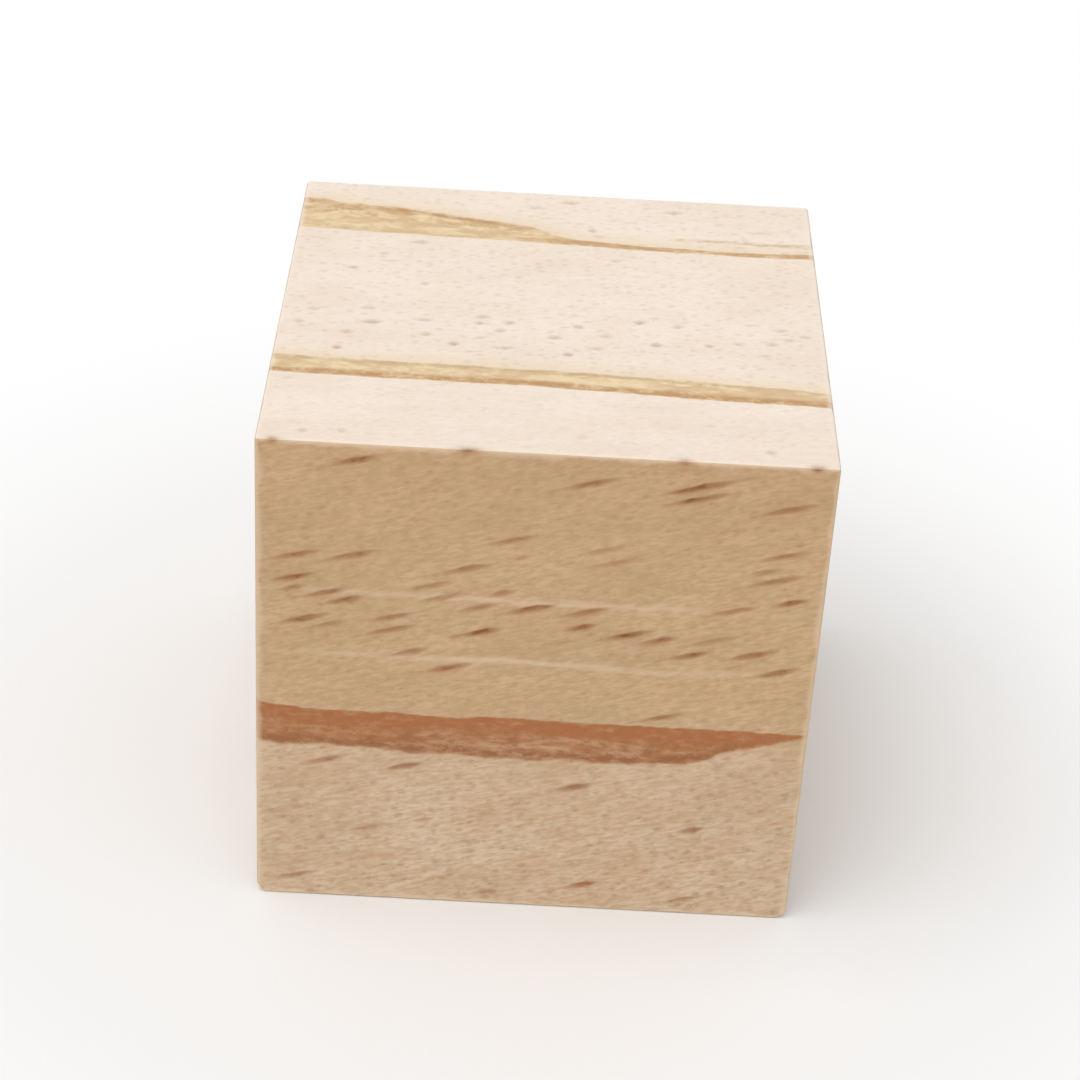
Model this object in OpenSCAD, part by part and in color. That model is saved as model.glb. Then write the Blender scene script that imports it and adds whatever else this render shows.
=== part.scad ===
// Sawn and sanded softwood cube, one solid piece.
// The grain runs along X, so the left and right faces are the cross-cut ends.
// Origin at the middle of the face that it stands on, +Z up, front towards -Y.

/* [Block] */
// Length of the cube from any face to the one opposite
side = 50; // [20:1:100]

/* [Sanded edges] */
// Radius that light sanding leaves on the ten sharper edges
edge_radius = 0.3; // [0.2:0.1:1]
// Radius of the two lower cross-cut edges, which are worn rounder
foot_radius = 1.1; // [1:0.1:4]

/* [Hidden] */
$fn = 64;
half = side / 2;
// How far a cutter reaches past the face that it trims
overcut = 1;
wood_colour = [0.87, 0.76, 0.61];

// The corner that rounding takes off: what lies outside a quarter circle about the origin.
module waste_section(radius) {
    difference() {
        square(radius + overcut);
        circle(r = radius);
    }
}

// The waste along a straight stretch of rim, centred on it: it runs along Y and trims +X and +Z.
module straight_waste(length) {
    rotate([90, 0, 0])
        linear_extrude(height = length, center = true)
            waste_section(edge_radius);
}

// The waste round one corner of the rim, where the outline itself turns at corner_radius.
module corner_waste(corner_radius) {
    rotate_extrude(angle = 90)
        translate([corner_radius - edge_radius, 0])
            waste_section(edge_radius);
}

// Front view of the block: a square with two nearly sharp upper corners and two rounder lower ones.
module front_outline() {
    difference() {
        square(side, center = true);
        for (hand = [0, 1])
            mirror([hand, 0]) {
                translate([half - edge_radius, half - edge_radius])
                    waste_section(edge_radius);
                translate([half - foot_radius, foot_radius - half])
                    mirror([0, 1])
                        waste_section(foot_radius);
            }
    }
}

// Everything that sanding takes off along the rim of one face, seen with that face upwards.
module rim_waste() {
    translate([0, half - edge_radius, half - edge_radius])
        rotate([0, 0, 90])
            straight_waste(side - 2 * edge_radius);
    translate([0, edge_radius - half, half - edge_radius])
        rotate([0, 0, -90])
            straight_waste(side - 2 * foot_radius);
    for (hand = [0, 1])
        mirror([hand, 0, 0]) {
            translate([half - edge_radius, (foot_radius - edge_radius) / 2, half - edge_radius])
                straight_waste(side - foot_radius - edge_radius);
            translate([half - edge_radius, half - edge_radius, half - edge_radius])
                corner_waste(edge_radius);
            translate([half - foot_radius, foot_radius - half, half - edge_radius])
                mirror([0, 1, 0])
                    corner_waste(foot_radius);
        }
}

// The block is shaped lying on its back, front face up, and then stood on its foot.
module wooden_cube() {
    color(wood_colour)
        translate([0, 0, half])
            rotate([90, 0, 0])
                difference() {
                    linear_extrude(height = side, center = true)
                        front_outline();
                    for (face = [0, 1])
                        mirror([0, 0, face])
                            rim_waste();
                }
}

wooden_cube();
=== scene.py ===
import math
import random
from functools import partialmethod
from itertools import combinations
from typing import NamedTuple

import bmesh
import bpy
from bpy.props import FloatProperty, FloatVectorProperty, IntProperty, PointerProperty
from mathutils import Matrix, Quaternion, Vector, noise
from mathutils.geometry import delaunay_2d_cdt


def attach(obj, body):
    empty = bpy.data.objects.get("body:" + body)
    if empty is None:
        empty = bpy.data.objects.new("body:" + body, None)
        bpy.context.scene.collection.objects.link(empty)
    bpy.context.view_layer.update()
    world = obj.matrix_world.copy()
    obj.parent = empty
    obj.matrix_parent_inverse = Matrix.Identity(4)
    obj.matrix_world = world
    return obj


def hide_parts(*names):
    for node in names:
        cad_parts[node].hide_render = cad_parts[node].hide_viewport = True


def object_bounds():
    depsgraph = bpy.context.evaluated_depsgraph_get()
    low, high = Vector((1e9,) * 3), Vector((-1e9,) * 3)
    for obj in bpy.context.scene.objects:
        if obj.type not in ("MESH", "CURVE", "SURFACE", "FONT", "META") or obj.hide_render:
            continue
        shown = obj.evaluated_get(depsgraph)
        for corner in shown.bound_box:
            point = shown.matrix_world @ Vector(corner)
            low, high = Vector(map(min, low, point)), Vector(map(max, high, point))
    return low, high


bl_info = {
    "name": "Wooden cube",
    "version": (1, 0, 0),
    "blender": (4, 5, 0),
    "location": "3D View > Sidebar > Wooden cube",
    "description": "A sawn and sanded pine cube, its resin canals cut into the wood",
    "category": "Add Mesh",
}

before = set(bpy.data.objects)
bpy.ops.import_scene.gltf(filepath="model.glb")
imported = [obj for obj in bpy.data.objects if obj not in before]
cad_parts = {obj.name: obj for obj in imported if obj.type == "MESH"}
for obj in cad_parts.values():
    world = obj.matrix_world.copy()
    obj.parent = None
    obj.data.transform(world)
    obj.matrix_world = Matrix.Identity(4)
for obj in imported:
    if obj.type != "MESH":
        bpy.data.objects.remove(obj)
CAD_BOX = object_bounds()
NODE = "wooden_cube"
BODY = "root"

# The lists and the wood below are in millimetres. The height of a place on an upright
# face, and the way back on a level one, are measured from the middle of the face.
MM = 0.001

# The way that the resin canals run: nearly along X, rising to the right.
GRAIN = Vector((0.957, 0.096, 0.269)).normalized()


# ---------------- the tree


class Ring(NamedTuple):
    """The end of one year's growth, where dense late wood meets the next year's wood."""

    radius: float
    # How far the border strays along the grain, and how thick the late wood is: (x, size).
    strays: tuple
    late: tuple


# The middle of the trunk, behind the cube and a little below it.
PITH_BACK = 81.5
PITH_HEIGHT = -7.7

# The outer ring shows as the brown band on the front and as the front band on top.
OUTER_FRONT = Ring(
    110.5,
    strays=((-25, 0.16), (-12, 0.06), (-7, 0.1), (2, 0.04), (10, -0.05), (17, 0.0), (25, -0.02)),
    late=(
        (-25, 1.09), (-17, 1.03), (-12.5, 1.1), (-10, 1.23), (-5, 1.23), (1, 1.16), (7, 1.08),
        (12, 0.98), (15.3, 0.91), (17.2, 0.62), (19.8, 0.45), (22.5, 0.25), (24.8, 0.0),
    ),
)
OUTER_TOP = Ring(
    110.5,
    strays=((-25, 0.55), (-20, 0.55), (-5, 0.55), (3, 0.82), (7.5, 1.03), (15, 1.3), (25, 1.6)),
    late=((-25, 2.6), (-20, 2.45), (-5, 2.35), (10, 2.4), (20, 2.3), (25, 1.7)),
)
MIDDLE = Ring(
    88.6,
    strays=((-25, -0.5), (-20, -0.4), (-12, -0.2), (-3, -0.05), (1, 0.05), (12, 0.4), (25, 0.4)),
    late=((-25, 4.3), (-14, 3.7), (-8, 3.0), (-2.5, 2.3), (1, 0.95), (5, 0.65), (25, 0.6)),
)
INNER = Ring(
    67.0,
    strays=((-25, 0.4), (-8, -0.2), (10, 0.3), (25, -0.3)),
    late=((-25, 0.9), (-5, 1.5), (12, 1.8), (25, 1.3)),
)
# The outer ring's front shape holds up to this height and its top shape from the other.
FRONT_SHAPE_UP_TO = 23.0
TOP_SHAPE_FROM = 46.0
# The radii between which the older year's wood turns into the wood of the year after it.
YEAR_TURNS = (109.0, 111.2)
# The radius from which the wood grows warmer, and the one where it is warmest.
WARMER = (113.0, 121.5)
# Thin lines, as radius and reach: a faint one by the middle ring, and two pale ones.
FAINT_LINE = (87.1, 0.45)
PALE_LINES = ((114.6, 0.2), (112.35, 0.16))
# Between these places along X the middle ring thins, the faint line comes up, and the inner
# line of the outer ring fades.
MIDDLE_THINS = (-6.0, 1.0)
FAINT_COMES = (10.5, 13.0)
LINE_FADES = (20.0, 24.0)
# Where the outer ring is tan on the front: the middle of the place along X, and its reach.
TAN_PLACE = (1.0, 15.0)


# ---------------- resin canals


class Canal(NamedTuple):
    """A resin canal that a face cuts open: its middle, length, strength, tail and width."""

    across: float
    up: float
    length: float
    strength: float = 1.0
    # A longer faint stretch past one end, where the canal dips under: left is negative.
    tail: float = 0.0
    # A share of the usual width.
    width: float = 1.0


# The canals of the two faces that show most, each as the values of a Canal.
FRONT_CANALS = (
    (-16.4, 23.4, 2.4, 1.0, -2.2), (3.9, 22.2, 2.8, 0.7, -3.2), (13.4, 22.9, 3.6, 1.0, 4.0),
    (13.0, 21.9, 3.0, 0.9, 1.6), (22.7, 20.6, 2.8, 0.8, -1.2), (-2.6, 16.0, 2.6, 0.6, -1.8),
    (5.2, 15.4, 2.4, 0.4, -2.4), (6.6, 14.3, 2.6, 0.4, -3.2), (21.0, 15.8, 2.6, 0.7, -2.2),
    (20.6, 13.2, 3.0, 0.7, -3.0), (19.6, 14.1, 1.8, 0.5, -1.2), (-22.9, 13.0, 2.4, 0.9),
    (-16.6, 13.8, 2.8, 0.7, -2.6), (-6.4, 12.6, 2.6, 0.7, -3.4), (-9.8, 11.0, 2.2, 0.6),
    (-22.3, 10.6, 2.2, 0.9), (-18.9, 9.9, 2.4, 0.8, -1.4), (-17.1, 8.9, 1.9, 1.0, -0.9),
    (-21.6, 9.6, 1.4, 0.6), (-8.3, 9.6, 2.6, 0.6), (-5.4, 9.1, 2.2, 0.6), (-3.2, 10.0, 1.4, 0.7),
    (-0.7, 9.0, 2.6, 1.0, -1.2), (4.3, 8.9, 2.6, 0.8), (-20.9, 6.9, 2.6, 0.9, -1.0),
    (-18.6, 6.3, 2.0, 0.5), (-13.0, 7.4, 2.2, 0.7), (-13.0, 5.9, 2.6, 0.8, -2.0),
    (-4.9, 6.2, 2.0, 1.0, -1.8), (3.8, 7.2, 1.6, 1.0), (8.2, 6.1, 2.4, 1.0, -1.2),
    (10.8, 6.1, 1.8, 0.9), (15.6, 7.0, 2.6, 0.5, -1.8), (13.6, 4.8, 2.2, 0.9, -2.6),
    (19.2, 5.5, 2.4, 1.0, -1.4), (21.8, 3.4, 2.4, 0.9, -1.6), (17.1, 9.8, 2.4, 0.8, -1.6),
    (23.4, 11.0, 1.8, 0.9), (-11.3, 3.6, 1.8, 0.8, -1.0), (-7.8, 2.1, 2.2, 1.0, -1.4),
    (11.6, -2.2, 2.4, 0.8, -1.0), (-18.7, -8.9, 2.0, 0.8, -0.9), (-11.4, -9.2, 2.0, 0.9, -0.9),
    (4.2, -10.6, 2.0, 1.0, -1.6), (15.3, -14.9, 1.4, 0.9), (-14.7, -16.6, 2.0, 0.5, -1.4),
    (-21.4, -22.7, 2.0, 0.7), (5.6, -22.1, 1.9, 1.0, -1.0), (15.0, -23.4, 2.0, 0.6, -1.4),
    (-3.5, -24.0, 1.5, 0.5),
)
TOP_CANALS = (
    (-22.0, -1.5, 1.2, 0.5), (-23.1, -4.0, 0.9, 0.6), (-17.0, -0.8, 1.3, 0.6),
    (-16.6, -3.4, 1.8, 0.9, -0.9), (-18.7, -5.5, 1.2, 0.6), (-11.7, -2.5, 1.4, 0.6),
    (-11.5, -5.2, 1.1, 0.7), (-8.9, -6.7, 1.0, 1.0), (-19.3, -8.5, 0.9, 1.0),
    (-6.5, -1.4, 1.3, 0.7), (-6.7, -2.6, 1.1, 0.7), (-4.8, -3.8, 1.1, 0.7), (-4.0, -2.2, 1.2, 0.7),
    (-4.2, -7.0, 1.6, 0.6), (2.3, -2.3, 1.0, 0.8), (0.2, -4.6, 1.2, 0.8), (4.0, -6.2, 1.4, 0.7),
    (1.5, -7.6, 1.0, 0.8), (4.9, -3.8, 1.1, 0.6), (8.0, -0.9, 1.0, 1.0), (9.5, -5.0, 1.1, 0.8),
    (11.5, -1.3, 1.2, 0.6), (14.3, -4.6, 0.9, 0.7), (17.0, -4.0, 1.0, 0.6), (20.1, -3.7, 1.1, 0.7),
    (21.8, -2.7, 1.0, 0.6), (21.0, -1.0, 1.3, 0.6), (23.6, -2.0, 1.1, 0.6), (-19.0, 7.0, 0.9, 0.8),
    (-12.1, 4.5, 0.8, 0.6), (-13.1, 12.9, 1.8, 0.7), (3.5, 17.3, 0.9, 0.8), (4.2, 16.1, 1.1, 0.5),
    (5.8, 11.2, 0.9, 0.6), (1.3, 23.1, 1.8, 0.8), (-2.2, 21.6, 1.4, 0.5),
    (11.5, 22.1, 2.0, 0.7, -1.2), (20.0, 18.7, 2.4, 0.4), (-21.1, -23.3, 1.0, 0.6),
    (-17.7, -22.9, 0.9, 0.5), (19.1, -22.8, 0.9, 0.7), (14.0, -18.8, 1.0, 0.3),
)
# How a face shows its canals: shares of their length, strength, tail and usual width.
FRONT_SHOWS = (1.5, 0.95, 0.5, 1.05)
TOP_SHOWS = (0.95, 0.62, 0.45, 1.3)

# Where a canal runs out through the top front edge and has left a nick: x, and length.
NICKS = ((-23.4, 1.1), (-6.6, 2.2), (11.7, 1.2), (23.1, 1.3))
# How far a nick reaches from the edge, and how dark the canal has left it.
NICK_REACH = 0.45
NICK_STAIN = 0.9

# A canal's cross-sections: place along it, and shares of its width, depth and stain.
CANAL_SECTIONS = (
    (-0.12, 0.50, 0.10, 0.24),
    (0.02, 0.70, 0.30, 0.48),
    (0.20, 0.90, 0.60, 0.74),
    (0.44, 1.00, 1.00, 0.98),
    (0.64, 1.00, 0.90, 1.00),
    (0.84, 0.85, 0.50, 0.76),
    (0.98, 0.70, 0.25, 0.48),
    (1.12, 0.50, 0.10, 0.22),
)
# How far its faint ends reach past it, as a share of its length.
FADE = 0.25
# The lanes along a canal: place across it in half widths, and shares of its depth and stain.
CANAL_LANES = (
    (-1.4, 0.0, 0.0),
    (-0.95, 0.0, 0.4),
    (-0.5, 0.8, 0.9),
    (0.0, 1.0, 1.0),
    (0.5, 0.8, 0.9),
    (0.95, 0.0, 0.4),
    (1.4, 0.0, 0.0),
)
TAIL_WIDTH = 0.6
TAIL_DEPTH = 0.1
TAIL_STAIN = (0.2, 0.3)
# The shares of its width and depth that the faintest canal has.
FAINT_WIDTH = 0.75
FAINT_DEPTH = 0.6
# The least and the most of a canal's width that lies to one side of its middle.
SIDE_SHARES = (0.42, 0.58)
# How far its middle line strays, and the least and the most of its stain that a part shows.
CANAL_BEND = 0.04
STAIN_SHARES = (0.8, 1.0)
# The wood that is left between two canals, and how often they are moved apart.
CANAL_GAP = 0.08
SPREAD_ROUNDS = 30
# How far the listed canals stay from a face's rim, in radii of the edges.
OWN_MARGIN = 1.5

# Canals placed by chance: the wood that is left between them, and beside the eased edges.
CHANCE_GAP = 1.0
CHANCE_MARGIN = 0.4
# Their longest usual length, the shares of the usual one that they have, and their strengths.
LONGEST = 2.2
LENGTH_SHARES = (0.7, 1.3)
STRENGTHS = (0.3, 1.0)
# The length from which one may have a tail, how likely that is, and its share of the length.
TAIL_FROM = 1.5
TAIL_CHANCE = 0.3
TAIL_SHARES = (0.2, 0.7)
# How many places are tried for each of them, at most.
TRIES_EACH = 20


# ---------------- settings


def size(name, description, millimetres):
    """A length that the sidebar shows in the scene's units."""
    return FloatProperty(
        name=name, description=description, default=millimetres * MM, min=0.0, unit="LENGTH"
    )


def swivel(name, description, degrees):
    """An angle that the sidebar shows in degrees."""
    return FloatProperty(
        name=name, description=description, default=math.radians(degrees), subtype="ANGLE"
    )


def colour(name, description, value):
    """A colour that the sidebar shows as a swatch."""
    return FloatVectorProperty(
        name=name, description=description, default=value, min=0.0, max=1.0, subtype="COLOR"
    )


class BlockSizes(bpy.types.PropertyGroup):
    """The sizes of the sawn block."""

    side: size("Side", "Length of each side of the cube", (CAD_BOX[1] - CAD_BOX[0]).z / MM)
    edge_radius: size("Sanded edges", "Radius of the eased edges", 0.3)
    foot_radius: size("Foot edges", "Radius of the two worn edges at the foot", 1.1)
    edge_wear: FloatProperty(
        name="Edge wear", description="How unevenly the edges are rubbed down",
        default=0.9, min=0.0, max=1.5, subtype="FACTOR",
    )
    nick_depth: size("Nick depth", "How deep the nicks in the top front edge are", 0.26)
    mesh_step: size("Mesh step", "Distance between the mesh's rows on the flat faces", 1.0)
    canal_width: size("Canal width", "Width of a resin canal", 0.64)
    canal_depth: size("Canal depth", "How deep an opened resin canal is", 0.12)
    hidden_canals: IntProperty(
        name="Canals on the hidden faces",
        description="How many resin canals the back and the foot show, each", default=46, min=0,
    )
    end_canals: IntProperty(
        name="Canals in the end grain",
        description="How many resin canals each end cuts across", default=150, min=0,
    )
    seed: IntProperty(name="Seed", description="Chooses where the hidden canals lie", default=7)


class LitTopTones(bpy.types.PropertyGroup):
    """The colours of the pale upper face: a paler, flatter copy of the wood's colours than the
    sides', painted light as if bright light falls on the top.
    """

    wood: colour("Wood", "Early wood", (0.924, 0.814, 0.710))
    old_wood: colour("Older wood", "Wood before the late wood of its year", (0.916, 0.800, 0.692))
    blush: colour("Blush", "Patches of warmer wood", (0.860, 0.710, 0.590))
    haze: colour("Haze", "Wood that turns to late wood", (0.830, 0.665, 0.470))
    band: colour("Late wood", "Late wood between its two borders", (0.850, 0.665, 0.405))
    line: colour("Inner line", "The line where late wood begins", (0.600, 0.440, 0.250))
    border: colour("Border", "Dark border of the late wood", (0.530, 0.300, 0.135))
    canal: colour("Resin canal", "Resin in the canals", (0.410, 0.290, 0.190))
    fibre: colour("Fibre", "Darker fibres", (0.790, 0.650, 0.510))
    # This colour also paints the highlight along the eased edges.
    rubbed: colour("Rubbed edge", "Edges that handling has paled", (0.900, 0.800, 0.690))


class ShadedSideTones(bpy.types.PropertyGroup):
    """The colours of the faces sawn along the grain: a darker copy of the upper face's colours,
    painted shade on the faces that the light from above reaches less.
    """

    wood: colour("Wood", "Early wood", (0.688, 0.464, 0.268))
    old_wood: colour("Older wood", "Wood before the late wood of its year", (0.778, 0.603, 0.428))
    blush: colour("Blush", "Patches of warmer wood", (0.670, 0.400, 0.225))
    haze: colour("Haze", "Wood that turns to late wood", (0.620, 0.400, 0.230))
    band: colour("Late wood", "Late wood between its two borders", (0.470, 0.204, 0.081))
    line: colour("Inner line", "The line where late wood begins", (0.345, 0.142, 0.057))
    border: colour("Border", "Dark border of the late wood", (0.440, 0.163, 0.058))
    canal: colour("Resin canal", "Resin in the canals", (0.310, 0.115, 0.044))
    fibre: colour("Fibre", "Darker fibres", (0.500, 0.320, 0.170))
    # This colour also paints the highlight along the eased edges.
    rubbed: colour("Rubbed edge", "Edges that handling has paled", (0.820, 0.630, 0.440))


class EndTones(bpy.types.PropertyGroup):
    """The colours of the cross-cut ends."""

    wood: colour("Wood", "Early wood", (0.520, 0.350, 0.195))
    old_wood: colour("Older wood", "Wood before the late wood of its year", (0.560, 0.385, 0.225))
    haze: colour("Haze", "Wood that turns to late wood", (0.440, 0.270, 0.140))
    band: colour("Late wood", "Late wood between its two borders", (0.360, 0.176, 0.076))
    border: colour("Border", "Dark border of the late wood", (0.300, 0.130, 0.055))
    canal: colour("Resin canal", "Resin in the canals", (0.240, 0.100, 0.045))
    fibre: colour("Fibre", "Fibres torn by the saw", (0.700, 0.540, 0.360))
    # This colour also paints the highlight along the eased edges.
    rubbed: colour("Rubbed edge", "Edges that handling has paled", (0.720, 0.540, 0.360))


class StudioSettings(bpy.types.PropertyGroup):
    """The floor, the light and the camera."""

    floor: colour("Floor", "Colour of the floor", (0.90, 0.90, 0.90))
    room_light: FloatProperty(
        name="Room light", description="Even light from all round", default=0.65, min=0.0
    )
    lamp_light: FloatProperty(
        name="Lamp light", description="Strength of the soft lamp", default=1.3, min=0.0
    )
    azimuth: swivel("Azimuth", "Camera's way round the cube", -0.6)
    elevation: swivel("Elevation", "Camera's height over the cube", 33.0)
    roll: swivel("Roll", "Camera's tilt to the side", 3.4)
    distance: size("Distance", "From the camera to the middle of the cube", 275.0)
    view_angle: swivel("View angle", "Width of the camera's view", 21.6)


# ---------------- the block


# Where the mesh has rows over an edge, the foot's edge and a nick, in their own sizes.
EDGE_ROWS = (0, 0.25, 0.5, 0.75, 1, 1.25)
FOOT_ROWS = (0.5, 0.75, 1, 1.12)
NICK_ROWS = (-0.6, -0.4, -0.2, 0, 0.2, 0.4, 0.6)
LEAST_STEP = 0.05
# How far the even mesh is cleared beside a canal: this share of its width, and this much more.
CLEARED = (0.8, 0.1)
# How near to a face's rim it is never cleared, in radii of the edges.
KEPT_RIM = 1.1
# Points nearer than this are one: where two faces meet, and on one face.
SEAM = 0.001
SAME_SPOT = 1e-6
# The waves of the edges' wear: length, and share of the wear.
WEAR_WAVES = ((2.3, 1.0), (0.7, 0.6))


class Face(NamedTuple):
    """One of the cube's faces, as someone in front of it sees it."""

    right: Vector
    up: Vector
    material: int

    @property
    def outward(self):
        """The way that the face looks."""
        return self.right.cross(self.up)


# The upper face's material is a paler copy of the wood, painted light from above; the faces along
# the grain have the darker copy, painted shade.
LIT_TOP, SHADED_SIDE, END = range(3)
FACES = {
    "top": Face(Vector((1, 0, 0)), Vector((0, 1, 0)), LIT_TOP),
    "front": Face(Vector((1, 0, 0)), Vector((0, 0, 1)), SHADED_SIDE),
    "back": Face(Vector((-1, 0, 0)), Vector((0, 0, 1)), SHADED_SIDE),
    "foot": Face(Vector((1, 0, 0)), Vector((0, -1, 0)), SHADED_SIDE),
    "left": Face(Vector((0, -1, 0)), Vector((0, 0, 1)), END),
    "right": Face(Vector((0, 1, 0)), Vector((0, 0, 1)), END),
}


class Mark(NamedTuple):
    """A point of a face's mesh: its place on the face, how deep it lies and its stain."""

    across: float
    up: float
    depth: float = 0.0
    stain: float = 0.0


class Block:
    """The cube's sizes in millimetres, and its shape about its own middle."""

    def __init__(self, sizes):
        self.half = sizes.side / MM / 2
        self.edge = sizes.edge_radius / MM
        self.foot = sizes.foot_radius / MM
        self.wear = sizes.edge_wear
        self.nick = sizes.nick_depth / MM
        self.step = sizes.mesh_step / MM
        self.canal_width = sizes.canal_width / MM
        self.canal_depth = sizes.canal_depth / MM

    def eased(self, point):
        """The place on the sanded block that is nearest to a place on a sharp cube."""
        corner = self.foot if point.z < 0 else self.edge
        reach = self.half - corner
        core = Vector((within(point.x, reach), 0, within(point.z, reach)))
        outward = Vector((point.x - core.x, 0, point.z - core.z))
        if outward.length > corner - self.edge:
            outward = outward.normalized() * (corner - self.edge)
        core += outward
        core.y = within(point.y, self.half - self.edge)
        return core + (point - core).normalized() * self.edge

    def worn(self, point):
        """The sanded block's place with its uneven edges and its nicks, and how far one bites."""
        eased = self.eased(point)
        pull = eased - point
        wear = sum(share * noise.noise(point / length) for length, share in WEAR_WAVES)
        worn = eased + pull * min(1.0, max(0.0, wear) * self.wear)
        bite = self.bite(point)
        return worn + Vector((0, 1, -1)).normalized() * self.nick * bite, bite

    def bite(self, point):
        """How far, from 0 to 1, the nicks reach in at a place."""
        from_edge = math.hypot(point.y + self.half, point.z - self.half)
        bite = 0.0
        for x, length in NICKS:
            along = (point.x - x) / (length / 2)
            bite = max(bite, math.exp(-along * along - (from_edge / NICK_REACH) ** 2))
        return bite

    def rows(self, way):
        """The mesh's rows along a way: close over the eased edges, then evenly spaced."""
        eased = [self.edge * share for share in EDGE_ROWS]
        eased += [self.foot * share for share in FOOT_ROWS]
        inner = self.half - eased[-1]
        count = round(2 * inner / self.step)
        rows = [inner * (2 * number / count - 1) for number in range(count + 1)]
        for step in eased[:-1]:
            rows += [step - self.half, self.half - step]
        if way.x:
            for x, length in NICKS:
                rows += [x + length * share for share in NICK_ROWS]
        rows.sort()
        kept = rows[:1]
        for row in rows[1:]:
            if row - kept[-1] > LEAST_STEP:
                kept.append(row)
        return [row * (way.x or 1) for row in kept]


def within(value, limit):
    """The value, or the limit that it lies past."""
    return max(-limit, min(limit, value))


def canal_angle(face):
    """The way that the canals run on a face, measured from its right."""
    return math.atan2(GRAIN.dot(face.up), GRAIN.dot(face.right))


def canal_ways(angle):
    """The ways along and across the canals of a face."""
    way = Vector((math.cos(angle), math.sin(angle)))
    return way, Vector((-way.y, way.x))


def canal_ends(canal, angle):
    """The two ends of a canal, its tail with it, on its face."""
    way, _ = canal_ways(angle)
    middle = Vector((canal.across, canal.up))
    reach = canal.length * (0.5 + FADE)
    left = middle + way * (min(0.0, canal.tail) - reach)
    right = middle + way * (max(0.0, canal.tail) + reach)
    return left, right


def grown(faintest, canal):
    """The faintest canal's share of something, grown towards 1 by a canal's strength."""
    return faintest + (1 - faintest) * canal.strength


def canal_width(canal, block):
    """How wide a canal is at its widest, in millimetres."""
    return block.canal_width * canal.width * grown(FAINT_WIDTH, canal)


def canal_marks(canal, angle, block, chance):
    """The points of a canal's groove and of the wood beside it, and the chains they form."""
    turn = -1.0 if canal.tail > 0 else 1.0
    way, over = (axis * turn for axis in canal_ways(angle))
    middle = Vector((canal.across, canal.up))
    width = canal_width(canal, block)
    depth = block.canal_depth * grown(FAINT_DEPTH, canal)
    tail = abs(canal.tail) / canal.length
    sections = list(CANAL_SECTIONS)
    if tail:
        ends = ((-FADE - tail / 2, TAIL_STAIN[0]), (-FADE, TAIL_STAIN[1]))
        sections = [(place, TAIL_WIDTH, TAIL_DEPTH, stain) for place, stain in ends] + sections
    spots = []
    for place, wide, deep, stain in sections:
        bend = chance.uniform(-CANAL_BEND, CANAL_BEND)
        centre = middle + way * canal.length * (place - 0.5) + over * bend
        half = width * wide * chance.uniform(*SIDE_SHARES)
        stain *= canal.strength * chance.uniform(*STAIN_SHARES)
        for share, sunk, shown in CANAL_LANES:
            spots.append(Mark(*(centre + over * half * share), sunk * deep * depth, shown * stain))
    lanes = len(CANAL_LANES)
    tips = []
    for place in (-FADE - tail, 1.0 + FADE):
        tips.append(len(spots))
        spots.append(Mark(*(middle + way * canal.length * (place - 0.5))))
    chains = [list(range(lane, lanes * len(sections), lanes)) for lane in range(lanes)]
    outer = [tips[0]] + chains[0] + [tips[1]] + chains[-1][::-1] + [tips[0]]
    rim = [tips[0]] + chains[1] + [tips[1]] + chains[-2][::-1] + [tips[0]]
    return spots, [rim, outer] + chains[2:-2]


def as_shown(rows, shares, face, block):
    """A face's own canals at the length, strength, tail and width that the face shows."""
    canals = []
    for across, up, *sizes in (Canal(*row) for row in rows):
        canals.append(Canal(across, up, *(own * share for own, share in zip(sizes, shares))))
    return kept_apart(canals, canal_angle(face), block)


def kept_apart(canals, angle, block):
    """The canals with those that would meet moved apart, the shorter way, and off the edges."""
    way, over = canal_ways(angle)
    for _ in range(SPREAD_ROUNDS):
        for first, second in combinations(range(len(canals)), 2):
            one, other = canals[first], canals[second]
            left, right = canal_ends(one, angle)
            low, high = canal_ends(other, angle)
            apart = (low + high - left - right) / 2
            side, end = apart.dot(over), apart.dot(way)
            too_near = CANAL_GAP + half_groove(one, block) + half_groove(other, block) - abs(side)
            too_long = CANAL_GAP + ((right - left).length + (high - low).length) / 2 - abs(end)
            if too_near <= 0 or too_long <= 0:
                continue
            push = over * math.copysign(too_near / 2, side)
            if too_long < too_near:
                push = way * math.copysign(too_long / 2, end)
            canals[first] = moved(one, -push)
            canals[second] = moved(other, push)
        canals = [off_the_edges(canal, angle, block) for canal in canals]
    return canals


def half_groove(canal, block):
    """How far a canal's groove and its stained rim reach to one side."""
    return canal_width(canal, block) * SIDE_SHARES[1] * CANAL_LANES[-1][0]


def moved(canal, step):
    """The canal at a place one step away."""
    return canal._replace(across=canal.across + step.x, up=canal.up + step.y)


def off_the_edges(canal, angle, block):
    """The canal, moved in from the face's eased edges if it reaches them."""
    room = block.half - OWN_MARGIN * block.edge - half_groove(canal, block) * math.cos(angle)
    step = Vector((0.0, 0.0))
    for end in canal_ends(canal, angle):
        for number in range(2):
            lack = within(end[number], room) - end[number]
            if abs(lack) > abs(step[number]):
                step[number] = lack
    return moved(canal, step)


def clear_of(canal, others, angle):
    """True if a canal keeps its distance from all the others."""
    left, right = canal_ends(canal, angle)
    spots = [left.lerp(right, share) for share in (0, 0.25, 0.5, 0.75, 1)]
    for other in others:
        ends = canal_ends(other, angle)
        if any(distance_to(spot, *ends) < CHANCE_GAP for spot in spots):
            return False
    return True


def distance_to(spot, low, high):
    """How far a spot is from the straight line between two others."""
    way = (high - low).normalized()
    along = max(0.0, min((high - low).length, (spot - low).dot(way)))
    return (spot - (low + way * along)).length


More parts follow.
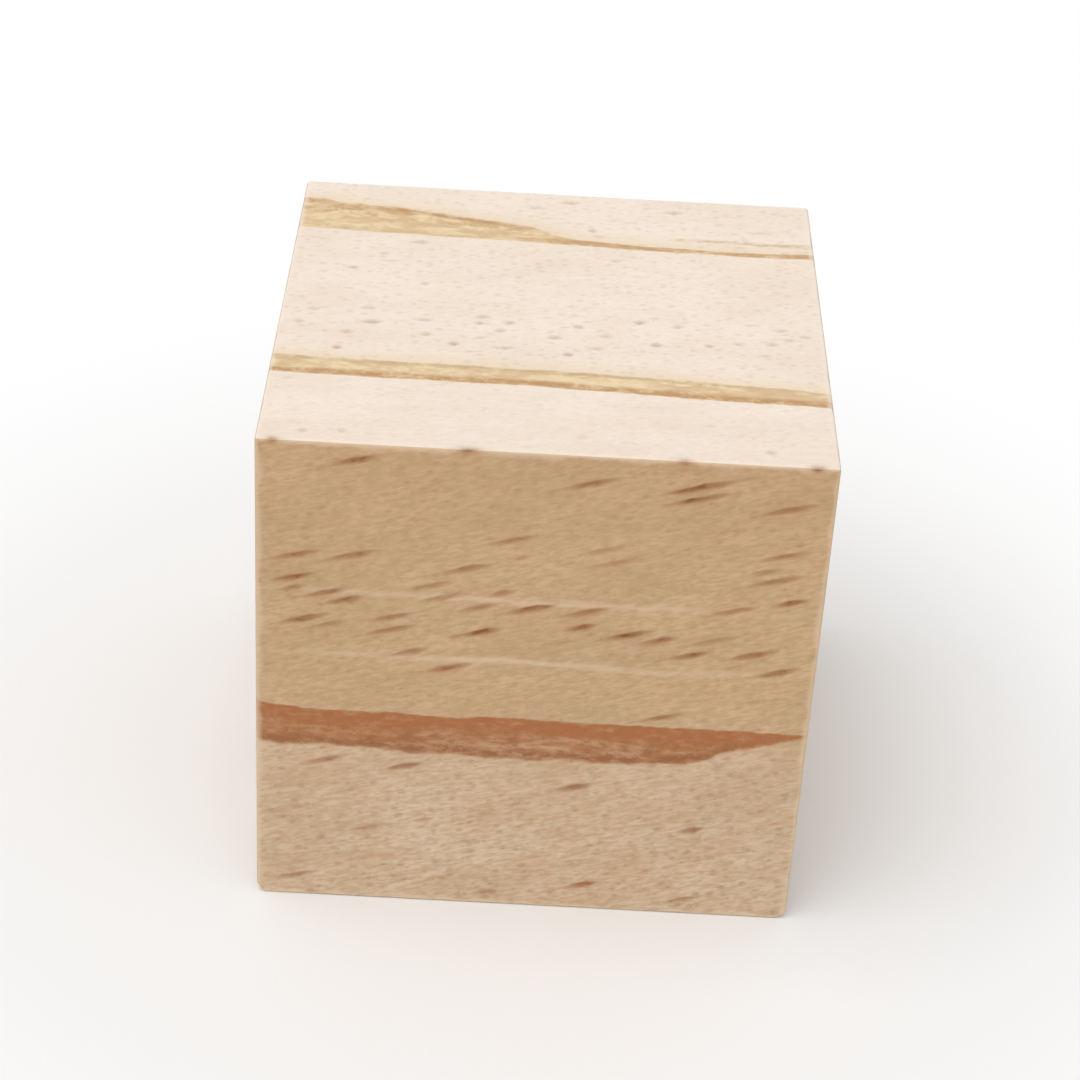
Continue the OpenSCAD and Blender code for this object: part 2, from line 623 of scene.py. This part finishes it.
def chance_canals(face, count, margin, block, chance):
    """Canals spread over a face at random, longest where they meet it at the least angle."""
    usual = min(LONGEST, block.canal_width / abs(GRAIN.dot(face.outward)))
    angle = canal_angle(face)
    canals = []
    tries = 0
    while len(canals) < count and tries < TRIES_EACH * count:
        tries += 1
        length = usual * chance.uniform(*LENGTH_SHARES)
        tail = 0.0
        if length > TAIL_FROM and chance.random() < TAIL_CHANCE:
            tail = -length * chance.uniform(*TAIL_SHARES)
        room = block.half - margin - length / 2
        canal = Canal(
            chance.uniform(-room, room) - tail / 2,
            chance.uniform(-block.half + margin, block.half - margin),
            length,
            chance.uniform(*STRENGTHS),
            tail,
        )
        ends = canal_ends(canal, angle)
        inside = all(abs(value) < block.half - margin for end in ends for value in end)
        if inside and clear_of(canal, canals, angle):
            canals.append(canal)
    return canals


def face_mesh(face, canals, block, chance):
    """The marks of one face, the triangles between them and the canals' outlines."""
    angle = canal_angle(face)
    grid = {(a, b) for a in block.rows(face.right) for b in block.rows(face.up)}
    for canal in canals:
        ends = canal_ends(canal, angle)
        reach = block.canal_width * max(1.0, canal.width) * CLEARED[0] + CLEARED[1]
        for spot in list(grid):
            flat = max(abs(spot[0]), abs(spot[1])) <= block.half - block.edge * KEPT_RIM
            if flat and distance_to(Vector(spot), *ends) < reach:
                grid.discard(spot)
    marks = [Mark(a, b) for a, b in sorted(grid)]
    joined = []
    outlines = []
    for canal in canals:
        spots, chains = canal_marks(canal, angle, block, chance)
        first = len(marks)
        marks += spots
        for chain in chains:
            joined += [(first + a, first + b) for a, b in zip(chain, chain[1:])]
        outlines += [(first + a, first + b) for a, b in zip(chains[0], chains[0][1:])]
    spots = [Vector((mark.across, mark.up)) for mark in marks]
    made, _, triangles, sources, _, _ = delaunay_2d_cdt(spots, joined, [], 0, SAME_SPOT)
    if len(made) != len(marks):
        raise RuntimeError(f"Two canals meet on a face: {len(made)} points from {len(marks)}")
    own = [source[0] for source in sources]
    return marks, [[own[corner] for corner in triangle] for triangle in triangles], outlines


def saw_block(block, canals, chance):
    """The cube as one closed mesh, in metres, standing on the floor."""
    mesh = bmesh.new()
    stain = mesh.verts.layers.float.new("stain")
    for name, face in FACES.items():
        marks, triangles, outlines = face_mesh(face, canals[name], block, chance)
        verts = []
        for mark in marks:
            sharp = face.outward * block.half + face.right * mark.across + face.up * mark.up
            place, bite = block.worn(sharp)
            vert = mesh.verts.new(place - face.outward * mark.depth)
            vert[stain] = max(mark.stain, NICK_STAIN * bite)
            verts.append(vert)
        for triangle in triangles:
            made = mesh.faces.new([verts[corner] for corner in triangle])
            made.material_index = face.material
            made.smooth = True
        for first, last in outlines:
            mesh.edges.get((verts[first], verts[last])).smooth = False
    bmesh.ops.remove_doubles(mesh, verts=mesh.verts, dist=SEAM)
    if not all(edge.is_manifold for edge in mesh.edges):
        raise RuntimeError("The faces of the block don't close")
    mesh.transform(Matrix.Scale(MM, 4) @ Matrix.Translation((0, 0, block.half)))
    return mesh


# ---------------- the finish


# How the nodes of a material are set out: how many in a column, and the space that each has.
NODES_HIGH = 4
NODE_SPACE = (190, 220)

# The heights between which the stronger pale rub at the foot ends, and its strength at each: a
# painted highlight on the foot's eased edges, which face down, away from the lamp.
FOOT_PAINTED_HIGHLIGHT = (0.4, 2.0, 1.9, 1.0)
# How strongly the pale edges show on the faces along the grain, and on the ends: partly rubbing,
# partly a painted highlight along the eased edges.
SIDE_RUB_AND_HIGHLIGHT = 0.5
END_RUB_AND_HIGHLIGHT = 0.7
# Some of the soft noise is taken this far away, so that it doesn't follow the rest.
ELSEWHERE = (40.0, 7.0, 3.0)
# A curve's least range, so that a level one has a range too.
LEAST_RANGE = 1e-6
# How far apart a radian about the pith sets the rays.
RAY_SPREAD = 100.0
# The saw's marks: the way that they are turned, and their size along each axis.
SAW_TURN = (math.radians(28), 0.0, 0.0)
SAW_MARK = (20.0, 9.0, 0.55)


class Bench:
    """Sets out the nodes of one material or group, from left to right."""

    def __init__(self, tree):
        self.tree = tree
        self.made = 0
        tree.nodes.clear()

    def add(self, kind, inputs=(), **settings):
        """A new node of a kind, with its settings, and its inputs by name or in their order."""
        node = self.tree.nodes.new(kind)
        column, row = divmod(self.made, NODES_HIGH)
        node.location = (column * NODE_SPACE[0], -row * NODE_SPACE[1])
        self.made += 1
        for name, value in settings.items():
            setattr(node, name, value)
        if not isinstance(inputs, dict):
            inputs = dict(enumerate(inputs))
        for name, value in inputs.items():
            if isinstance(value, bpy.types.NodeSocket):
                self.tree.links.new(value, node.inputs[name])
            else:
                node.inputs[name].default_value = value
        return node

    def math(self, operation, *values):
        """A sum of one to three numbers."""
        return self.add("ShaderNodeMath", values, operation=operation).outputs[0]

    # The usual sums, by their names.
    plus = partialmethod(math, "ADD")
    minus = partialmethod(math, "SUBTRACT")
    times = partialmethod(math, "MULTIPLY")
    over = partialmethod(math, "DIVIDE")
    least = partialmethod(math, "MINIMUM")
    most = partialmethod(math, "MAXIMUM")
    times_plus = partialmethod(math, "MULTIPLY_ADD")

    def vector(self, operation, *values):
        """A sum of one or two vectors."""
        node = self.add("ShaderNodeVectorMath", values, operation=operation)
        return node.outputs["Value" if operation == "LENGTH" else "Vector"]

    def parts(self, place):
        """A place's three measures."""
        return self.add("ShaderNodeSeparateXYZ", [place]).outputs

    def ramp(self, value, low, high, start=0.0, end=1.0):
        """A soft change from start to end while the value goes from low to high."""
        inputs = {"Value": value, "From Min": low, "From Max": high, "To Min": start, "To Max": end}
        return self.add("ShaderNodeMapRange", inputs, interpolation_type="SMOOTHSTEP").outputs[0]

    def bell(self, value, middle, reach):
        """1 where the value is in the middle, falling to 0 at its reach."""
        return self.ramp(self.math("ABSOLUTE", self.minus(value, middle)), 0.0, reach, 1.0, 0.0)

    def blend(self, share, first, last):
        """A number between two others."""
        inputs = {0: share, 2: first, 3: last}
        return self.add("ShaderNodeMix", inputs, data_type="FLOAT").outputs[0]

    def tint(self, share, first, last):
        """A colour between two others."""
        inputs = {0: share, 6: opaque(first), 7: opaque(last)}
        return self.add("ShaderNodeMix", inputs, data_type="RGBA").outputs[2]

    def coated(self, shade, coats):
        """A colour under coats of others, each with the share that it covers."""
        for share, tone in coats:
            shade = self.tint(share, shade, tone)
        return shade

    def noise(self, place, detail=2.0, roughness=0.5):
        """Soft noise, from 0 to 1, with one wave to each step of the place."""
        inputs = {"Vector": place, "Scale": 1.0, "Detail": detail, "Roughness": roughness}
        return self.add("ShaderNodeTexNoise", inputs).outputs["Fac"]

    def waves(self, place, size, detail=2.0, roughness=0.5):
        """Soft noise whose waves have a size along each axis."""
        return self.noise(self.vector("DIVIDE", place, size), detail, roughness)

    def cells(self, place):
        """The distance to the nearest of many scattered points, and that point's own chance."""
        node = self.add("ShaderNodeTexVoronoi", {"Vector": place, "Scale": 1.0})
        chance = self.add("ShaderNodeSeparateColor", [node.outputs["Color"]])
        return node.outputs["Distance"], chance.outputs[0]

    def profile(self, value, points):
        """A smooth curve through (value, result) points."""
        starts, results = zip(*points)
        low, high = min(results), max(results) + LEAST_RANGE
        first, length = starts[0], starts[-1] - starts[0]
        share = self.over(self.minus(value, first), length)
        node = self.add("ShaderNodeFloatCurve", {"Value": share})
        curve = node.mapping.curves[0]
        while len(curve.points) < len(points):
            curve.points.new(0.5, 0.5)
        for point, (start, result) in zip(curve.points, points):
            point.location = ((start - first) / length, (result - low) / (high - low))
        node.mapping.update()
        return self.times_plus(node.outputs["Value"], high - low, low)

    def turned(self, place, turn, size):
        """A place in steps of a size along each of three axes that are turned."""
        inputs = {"Vector": place, "Rotation": turn, "Scale": size}
        return self.add("ShaderNodeMapping", inputs, vector_type="TEXTURE").outputs[0]

    def along_grain(self, place, length, width):
        """A place in steps of a length along the grain and a width across it."""
        turn = Vector((1, 0, 0)).rotation_difference(GRAIN).to_euler()
        return self.turned(place, turn, (length, width, width))

    def use(self, group, place):
        """What a node group puts out at a place."""
        return self.add("ShaderNodeGroup", {"Place": place}, node_tree=group).outputs


def opaque(value):
    """A colour with its fourth part, which a colour socket wants."""
    if isinstance(value, bpy.types.NodeSocket):
        return value
    return (*value, 1.0)


def new_group(name, outputs):
    """A shader group that takes a place in millimetres, its bench, and that place."""
    tree = bpy.data.node_groups.new(name, "ShaderNodeTree")
    tree.interface.new_socket("Place", in_out="INPUT", socket_type="NodeSocketVector")
    for output in outputs:
        tree.interface.new_socket(output, in_out="OUTPUT", socket_type="NodeSocketFloat")
    bench = Bench(tree)
    return tree, bench, bench.add("NodeGroupInput").outputs["Place"]


def late_wood(bench, depth, thickness, border_width, line_width, fade):
    """A ring's late wood: its body, dark border, inner line, and the wood that leads to it."""
    inside = bench.ramp(depth, fade, 0.04)
    past_end = bench.minus(depth, thickness)
    body = bench.times(inside, bench.ramp(past_end, -0.08, 0.06, 1.0, 0.0))
    faded = bench.times(border_width, 0.4)
    border = bench.times(body, bench.ramp(depth, faded, border_width, 1.0, 0.0))
    middle = bench.times(line_width, -0.6)
    line = bench.times(bench.bell(past_end, middle, line_width), inside)
    haze = bench.times(inside, bench.ramp(past_end, -0.3, 2.1, 1.0, 0.0))
    return body, border, line, haze


def ring_shape(bench, ring, x):
    """How far a ring's border strays at a place along the grain, and how thick its late wood is."""
    return bench.profile(x, ring.strays), bench.profile(x, ring.late)


def growth_rings():
    """Where the late wood lies, worked out from the distance to the middle of the trunk."""
    names = ("Body", "Border", "Line", "Haze", "Tan", "Radius", "Mottle")
    tree, bench, place = new_group("Growth rings", names)
    ramp, times = bench.ramp, bench.times
    x, _, height = bench.parts(place)
    from_pith = bench.vector("SUBTRACT", place, (0, PITH_BACK, PITH_HEIGHT))
    from_pith = bench.vector("LENGTH", bench.vector("MULTIPLY", from_pith, (0, 1, 1)))
    wave = bench.times_plus(bench.waves(place, (14, 6, 6)), 0.5, -0.25)
    share = ramp(height, FRONT_SHAPE_UP_TO, TOP_SHAPE_FROM)
    ripple = bench.minus(bench.waves(place, (2.0, 0.7, 0.7)), 0.5)
    ripple = times(ripple, bench.blend(share, 0.12, 0.4))
    radius = bench.plus(from_pith, bench.plus(wave, ripple))
    mottle = bench.waves(place, (1.3, 0.7, 0.7), 3.0, 0.7)
    ragged = bench.times_plus(bench.waves(place, (3.4, 1.8, 1.8), 1.5), 0.5, -0.25)
    border_width = bench.blend(share, 0.62, 1.0)
    line_width = bench.blend(share, 0.2, 0.42)
    fade = bench.blend(share, -0.04, -0.25)
    both = zip(ring_shape(bench, OUTER_FRONT, x), ring_shape(bench, OUTER_TOP, x))
    outer_shape = [bench.blend(share, front, top) for front, top in both]
    shapes = (outer_shape, ring_shape(bench, MIDDLE, x), ring_shape(bench, INNER, x))
    totals = {}
    for ring, (stray, thickness) in zip((OUTER_FRONT, MIDDLE, INNER), shapes):
        depth = bench.minus(bench.plus(stray, ring.radius), radius)
        rough = times(bench.math("POWER", thickness, 3.0), ragged)
        thickness = bench.times_plus(rough, 0.05, thickness)
        inner_width = times(line_width, 1.5 if ring is MIDDLE else 1.0)
        body, border, line, haze = late_wood(
            bench, depth, thickness, border_width, inner_width, fade
        )
        if ring is OUTER_FRONT:
            tan = times(ramp(depth, 0.25, 0.6), bench.bell(x, *TAN_PLACE))
            tan = times(tan, ramp(share, 0.0, 0.2, 1.0, 0.0))
            line = times(line, ramp(x, *LINE_FADES, 1.0, 0.15))
        if ring is MIDDLE:
            right = ramp(x, *MIDDLE_THINS, 0.0, 0.75)
            left = ramp(x, *MIDDLE_THINS, 1.0, 0.0)
            inner_half = ramp(bench.minus(depth, thickness), -2.4, -0.6)
            specks = times(times(ramp(mottle, 0.38, 0.6, 0.0, 0.6), inner_half), body)
            drawn = times(line, ramp(x, -20.0, -15.0, 0.35, 1.0))
            inner = times(bench.most(drawn, specks), left)
            outer = times(border, times(left, 0.25))
            border = bench.most(times(border, right), inner)
            faint = times(bench.bell(radius, *FAINT_LINE), ramp(x, *FAINT_COMES))
            line = bench.most(outer, times(faint, 0.8))
        for name, value in zip(names, (body, border, line, haze)):
            totals[name] = bench.most(totals[name], value) if name in totals else value
    bench.add("NodeGroupOutput", {**totals, "Tan": tan, "Radius": radius, "Mottle": mottle})
    return tree


def fine_grain():
    """The wood's small marks: fibres, pores, and canals too thin to be cut in the mesh."""
    names = ("Fibres", "Pores", "Streaks", "Patches", "Blush", "Clouds", "Specks", "Grit")
    tree, bench, place = new_group("Fine grain", names)
    elsewhere = bench.vector("ADD", place, ELSEWHERE)
    found = {"Grit": bench.waves(place, (0.22, 0.22, 0.22), 2.0, 0.6)}
    for name, spot, length, width, detail, roughness in (
        ("Fibres", place, 6.0, 0.15, 3.0, 0.6),
        ("Patches", place, 16.0, 5.0, 2.0, 0.5),
        ("Blush", elsewhere, 7.0, 3.4, 3.0, 0.6),
        ("Clouds", elsewhere, 5.0, 1.3, 2.0, 0.5),
        ("Specks", place, 1.2, 0.42, 2.0, 0.6),
    ):
        found[name] = bench.noise(bench.along_grain(spot, length, width), detail, roughness)
    for name, length, width, reaches, sharp in (
        ("Pores", 1.1, 0.7, (0.0, 1.0, 0.18, 0.5), 0.3),
        ("Streaks", 8.0, 1.6, (0.35, 1.0, 0.005, 0.2), 0.2),
    ):
        near, chance = bench.cells(bench.along_grain(place, length, width))
        near = bench.over(near, bench.ramp(chance, *reaches))
        found[name] = bench.ramp(near, sharp, 1.1, 1.0, 0.0)
    bench.add("NodeGroupOutput", found)
    return tree


def edge_rub_and_highlight(half):
    """How pale each place is by its nearness to an edge, unevenly along the edges: partly rubbing,
    partly a painted highlight on the eased edges, strongest at the foot.
    """
    tree, bench, place = new_group("Edge rub", ("RubAndHighlight",))
    about_middle = bench.vector("SUBTRACT", place, (0.0, 0.0, half))
    x, y, z = bench.parts(bench.vector("ABSOLUTE", about_middle))
    second = bench.most(bench.least(bench.most(x, y), z), bench.least(x, y))
    width = bench.ramp(bench.waves(place, (2.6, 2.6, 2.6)), 0.3, 0.7, 0.25, 0.8)
    width = bench.times_plus(bench.waves(place, (0.5, 0.5, 0.5)), 0.3, width)
    rub_and_highlight = bench.ramp(bench.over(bench.minus(half, second), width), 0.25, 1.0, 1.0, 0.0)
    # Stronger near the foot: a painted highlight on the edges that face down.
    rub_and_highlight = bench.times(rub_and_highlight, bench.ramp(bench.parts(place)["Z"], *FOOT_PAINTED_HIGHLIGHT))
    bench.add("NodeGroupOutput", {"RubAndHighlight": rub_and_highlight})
    return tree


def mesh_value(bench, name):
    """A number that the mesh carries at its points."""
    return bench.add("ShaderNodeAttribute", attribute_name=name).outputs["Fac"]


def start_material(name):
    """A new material, its bench and the place of each point in millimetres."""
    material = bpy.data.materials.new(name)
    material.use_nodes = True
    bench = Bench(material.node_tree)
    place = bench.add("ShaderNodeTexCoord").outputs["Object"]
    return material, bench, bench.vector("DIVIDE", place, (MM, MM, MM))


def finish_material(bench, shade, roughness, height, relief):
    """The shader that the worked out colour, roughness and relief go to."""
    bumps = {"Strength": 1.0, "Distance": relief * MM, "Height": height}
    looks = {
        "Base Color": shade,
        "Roughness": roughness,
        "Specular IOR Level": 0.25,
        "Normal": bench.add("ShaderNodeBump", bumps).outputs["Normal"],
    }
    shader = bench.add("ShaderNodeBsdfPrincipled", looks)
    bench.add("ShaderNodeOutputMaterial", {"Surface": shader.outputs[0]})


def sawn_along(name, tones, groups, late, marks):
    """Pine sawn along the grain. The two numbers weigh its late wood and its fine marks."""
    material, bench, place = start_material(name)
    ramp, times = bench.ramp, bench.times
    ring = bench.use(groups["rings"], place)
    fine = bench.use(groups["grain"], place)
    radius, body, mottle = ring["Radius"], ring["Body"], ring["Mottle"]
    pale_lines = bench.most(*(bench.bell(radius, *line) for line in PALE_LINES))
    broken = ramp(bench.waves(place, (5.0, 2.0, 2.0)), 0.25, 0.55, 0.1, 0.5 * marks)
    broken = times(broken, bench.bell(bench.parts(place)["X"], -1.0, 34.0))
    streaks = bench.waves(place, (4.0, 1.4, 0.9), 3.0, 0.6)
    pale_streaks = bench.waves(place, (5.0, 0.9, 0.55))
    resin = bench.tint(ramp(fine["Blush"], 0.42, 0.62, 0.0, 0.45), tones.canal, tones.border)
    uneven = ramp(fine["Specks"], 0.3, 0.6, 1.35, 0.85)
    shade = bench.tint(ramp(radius, *YEAR_TURNS), tones.old_wood, tones.wood)
    # Each coat: the share of the wood that it covers, and its colour.
    coats = (
        (ramp(radius, *WARMER, 0.0, 0.4), tones.blush),
        (ramp(fine["Blush"], 0.45, 0.75, 0.0, 0.5), tones.blush),
        (ramp(fine["Patches"], 0.35, 0.75, 0.0, 0.35), tones.fibre),
        (ramp(fine["Clouds"], 0.45, 0.7, 0.0, 0.13 * marks), tones.fibre),
        (ramp(fine["Clouds"], 0.3, 0.5, 0.05 * marks, 0.0), tones.rubbed),
        (ramp(fine["Specks"], 0.35, 0.7, 0.0, 0.5 * marks), tones.fibre),
        (ramp(fine["Specks"], 0.25, 0.5, 0.09 * marks, 0.0), tones.rubbed),
        (ramp(fine["Fibres"], 0.42, 0.75, 0.0, 0.5 * marks), tones.fibre),
        (times(pale_lines, broken), tones.rubbed),
        (times(ring["Haze"], 0.7 * late), tones.haze),
        (times(body, ramp(mottle, 0.3, 0.55, 0.7, 1.0)), tones.band),
        (times(body, ramp(pale_streaks, 0.45, 0.65, 0.0, 0.35)), tones.haze),
        (times(ring["Tan"], times(body, ramp(streaks, 0.35, 0.6, 0.7, 0.35))), tones.haze),
        (times(body, ramp(streaks, 0.42, 0.62, 0.0, 0.7 * marks)), tones.border),
        (times(body, ramp(mottle, 0.46, 0.66, 0.0, 0.7 * marks)), tones.line),
        (times(ring["Line"], ramp(mottle, 0.35, 0.6, 0.25, 1.0)), tones.line),
        (times(ring["Border"], ramp(mottle, 0.3, 0.6, 0.35, 1.0)), tones.border),
        (times(fine["Pores"], ramp(radius, *YEAR_TURNS, 0.24 * marks, 0.13 * marks)), tones.canal),
        (times(fine["Streaks"], 0.40 * marks), tones.border),
        # Pale edges: partly rubbing, partly painted highlight, stronger at the foot.
        (times(bench.use(groups["rub_and_highlight"], place)["RubAndHighlight"], SIDE_RUB_AND_HIGHLIGHT), tones.rubbed),
        (times(mesh_value(bench, "stain"), uneven), resin),
    )
    roughness = ramp(body, 0.0, 1.0, 0.72, 0.55)
    height = bench.plus(fine["Fibres"], times(body, 0.8))
    height = bench.minus(height, times(fine["Pores"], 0.5))
    finish_material(bench, bench.coated(shade, coats), roughness, height, relief=0.02)
    return material


def cut_across(name, tones, groups):
    """Pine cut across the grain: ring arcs, rays from the pith, and the saw's marks."""
    material, bench, place = start_material(name)
    ramp, times = bench.ramp, bench.times
    ring = bench.use(groups["rings"], place)
    fine = bench.use(groups["grain"], place)
    x, y, z = bench.parts(place)
    turn = bench.math("ARCTAN2", bench.minus(z, PITH_HEIGHT), bench.minus(y, PITH_BACK))
    spread = bench.add("ShaderNodeCombineXYZ", (times(turn, RAY_SPREAD), ring["Radius"], x))
    rays = bench.waves(spread.outputs[0], (0.32, 6.0, 3.0), 2.0, 0.6)
    teeth = bench.noise(bench.turned(place, SAW_TURN, SAW_MARK), 2.0, 0.55)
    shade = bench.tint(ramp(fine["Patches"], 0.3, 0.7), tones.wood, tones.old_wood)
    coats = (
        (times(ring["Haze"], 0.8), tones.haze),
        (ramp(rays, 0.55, 0.8, 0.0, 0.5), tones.fibre),
        (times(ring["Body"], ramp(rays, 0.3, 0.7, 0.9, 0.6)), tones.band),
        (times(ring["Border"], 0.8), tones.border),
        (ramp(teeth, 0.45, 0.75, 0.0, 0.45), tones.fibre),
        (ramp(teeth, 0.25, 0.5, 0.3, 0.0), tones.border),
        (ramp(fine["Grit"], 0.56, 0.8, 0.0, 0.6), tones.fibre),
        (ramp(fine["Grit"], 0.2, 0.42, 0.35, 0.0), tones.border),
        # Pale edges: partly rubbing, partly painted highlight, stronger at the foot.
        (times(bench.use(groups["rub_and_highlight"], place)["RubAndHighlight"], END_RUB_AND_HIGHLIGHT), tones.rubbed),
        (mesh_value(bench, "stain"), tones.canal),
    )
    roughness = ramp(ring["Body"], 0.0, 1.0, 0.85, 0.7)
    height = bench.plus(teeth, times(fine["Grit"], 0.5))
    finish_material(bench, bench.coated(shade, coats), roughness, height, relief=0.05)
    return material


# ---------------- operators


# Half of the floor's width, and the distances between which it fades to white, in metres.
FLOOR_REACH = 2.0
FLOOR_FADE = (0.05, 0.1)
# How wide the lamp looks from the cube, and the way to it.
LAMP_WIDTH = math.radians(50)
LAMP_WAY = Vector((-0.25, -0.2, 0.95))
WHITE = (1.0, 1.0, 1.0, 1.0)


def linked(scene, name, data):
    """A new object that holds a mesh, a lamp or a camera, in the scene."""
    thing = bpy.data.objects.new(name, data)
    scene.collection.objects.link(thing)
    return thing


class WOODENCUBE_OT_saw(bpy.types.Operator):
    """Saw the pine cube, ease its edges and finish its faces"""

    bl_idname = "wooden_cube.saw"
    bl_label = "Saw the cube"

    def execute(self, context):
        scene = context.scene
        sizes = scene.block_sizes
        block = Block(sizes)
        chance = random.Random(sizes.seed)
        canals = {
            "top": as_shown(TOP_CANALS, TOP_SHOWS, FACES["top"], block),
            "front": as_shown(FRONT_CANALS, FRONT_SHOWS, FACES["front"], block),
        }
        margin = block.foot * FOOT_ROWS[-1] + CHANCE_MARGIN
        for name in ("back", "foot", "left", "right"):
            face = FACES[name]
            count = sizes.end_canals if face.material == END else sizes.hidden_canals
            canals[name] = chance_canals(face, count, margin, block, chance)
        sawn = saw_block(block, canals, chance)
        mesh = bpy.data.meshes.new("pine_cube")
        sawn.to_mesh(mesh)
        sawn.free()
        groups = {"rings": growth_rings(), "grain": fine_grain(), "rub_and_highlight": edge_rub_and_highlight(block.half)}
        # The upper face's copy is painted paler, with its fine marks weighed at only 0.65, as
        # painted light from above; the faces along the grain take the darker, painted-shade copy.
        mesh.materials.append(
            sawn_along("pine_lit_top_face", scene.pale_tones, groups, late=1.0, marks=0.65)
        )
        mesh.materials.append(
            sawn_along("pine_shaded_side_face", scene.side_tones, groups, late=0.3, marks=1.0)
        )
        mesh.materials.append(cut_across("pine_end_grain", scene.end_tones, groups))
        cube = linked(scene, "pine_cube", mesh)
        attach(cube, BODY)
        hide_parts(NODE)
        return {"FINISHED"}


class WOODENCUBE_OT_studio(bpy.types.Operator):
    """Set up the pale floor, the soft light and the camera"""

    bl_idname = "wooden_cube.studio"
    bl_label = "Set up the studio"

    def execute(self, context):
        scene = context.scene
        studio = scene.studio_settings
        lay_floor(scene, studio)
        hang_lamp(scene, studio)
        light_room(scene, studio)
        place_camera(scene, studio)
        scene.view_settings.view_transform = "Standard"
        return {"FINISHED"}


def lay_floor(scene, studio):
    """A wide pale floor that fades to plain white away from the cube."""
    sheet = bmesh.new()
    bmesh.ops.create_grid(sheet, x_segments=8, y_segments=8, size=FLOOR_REACH)
    mesh = bpy.data.meshes.new("floor")
    sheet.to_mesh(mesh)
    sheet.free()
    material = bpy.data.materials.new("studio_floor")
    material.use_nodes = True
    bench = Bench(material.node_tree)
    place = bench.add("ShaderNodeTexCoord").outputs["Object"]
    far = bench.ramp(bench.vector("LENGTH", place), *FLOOR_FADE)
    seen = bench.times(far, bench.add("ShaderNodeLightPath").outputs["Is Camera Ray"])
    paint = bench.add("ShaderNodeBsdfDiffuse", {"Color": opaque(studio.floor)})
    white = bench.add("ShaderNodeEmission")
    surface = bench.add("ShaderNodeMixShader", (seen, paint.outputs[0], white.outputs[0]))
    bench.add("ShaderNodeOutputMaterial", {"Surface": surface.outputs[0]})
    mesh.materials.append(material)
    floor = linked(scene, "floor", mesh)


def hang_lamp(scene, studio):
    """One wide, distant lamp overhead, a little to the front left."""
    lamp = bpy.data.lights.new("soft_lamp", "SUN")
    lamp.energy = studio.lamp_light
    lamp.angle = LAMP_WIDTH
    holder = linked(scene, "soft_lamp", lamp)
    holder.rotation_euler = LAMP_WAY.to_track_quat("Z", "Y").to_euler()


def light_room(scene, studio):
    """Even light from all round, with a plain white background."""
    world = bpy.data.worlds.new("studio")
    world.use_nodes = True
    bench = Bench(world.node_tree)
    seen = bench.add("ShaderNodeLightPath").outputs["Is Camera Ray"]
    light = bench.add("ShaderNodeBackground", {"Color": WHITE, "Strength": studio.room_light})
    backdrop = bench.add("ShaderNodeBackground", {"Color": WHITE})
    surface = bench.add("ShaderNodeMixShader", (seen, light.outputs[0], backdrop.outputs[0]))
    bench.add("ShaderNodeOutputWorld", {"Surface": surface.outputs[0]})
    scene.world = world


def place_camera(scene, studio):
    """A camera that looks down on the front and the top of the cube."""
    middle = (CAD_BOX[0] + CAD_BOX[1]) / 2
    level = math.cos(studio.elevation)
    x, y = math.sin(studio.azimuth) * level, -math.cos(studio.azimuth) * level
    back = Vector((x, y, math.sin(studio.elevation)))
    camera = bpy.data.cameras.new("camera")
    camera.angle = studio.view_angle
    holder = linked(scene, "camera", camera)
    holder.location = middle + back * studio.distance
    aim = back.to_track_quat("Z", "Y") @ Quaternion((0, 0, 1), studio.roll)
    holder.rotation_euler = aim.to_euler()
    scene.camera = holder


class WOODENCUBE_PT_panel(bpy.types.Panel):
    """The cube's sizes, colours and studio, with the buttons that make them"""

    bl_idname = "WOODENCUBE_PT_panel"
    bl_label = "Wooden cube"
    bl_space_type = "VIEW_3D"
    bl_region_type = "UI"
    bl_category = "Wooden cube"

    def draw(self, context):
        for settings, title, _, operator in SETTINGS:
            box = self.layout.box()
            box.label(text=title)
            group = getattr(context.scene, settings)
            for name in group.bl_rna.properties.keys():
                if name not in ("rna_type", "name"):
                    box.prop(group, name)
            if operator:
                box.operator(operator)


# The scene's name for each group of settings, its title and class, and the button below it.
SETTINGS = (
    ("block_sizes", "Block", BlockSizes, None),
    # The pale face's colours are the painted-lit copy of the wood, the side faces' colours the
    # painted-shade copy.
    ("pale_tones", "Pale face", LitTopTones, None),
    ("side_tones", "Side faces", ShadedSideTones, None),
    ("end_tones", "End grain", EndTones, WOODENCUBE_OT_saw.bl_idname),
    ("studio_settings", "Studio", StudioSettings, WOODENCUBE_OT_studio.bl_idname),
)
GROUPS = [group for _, _, group, _ in SETTINGS]
CLASSES = (*GROUPS, WOODENCUBE_OT_saw, WOODENCUBE_OT_studio, WOODENCUBE_PT_panel)


def register():
    """Makes the settings, the operators and the panel known to Blender."""
    for item in CLASSES:
        bpy.utils.register_class(item)
    for name, _, group, _ in SETTINGS:
        setattr(bpy.types.Scene, name, PointerProperty(type=group))


def unregister():
    """Takes them away again."""
    for name, *_ in SETTINGS:
        delattr(bpy.types.Scene, name)
    for item in reversed(CLASSES):
        bpy.utils.unregister_class(item)


def main():
    """Makes the cube and its studio."""
    register()
    bpy.ops.wooden_cube.saw()
    bpy.ops.wooden_cube.studio()


if __name__ == "__main__":
    main()
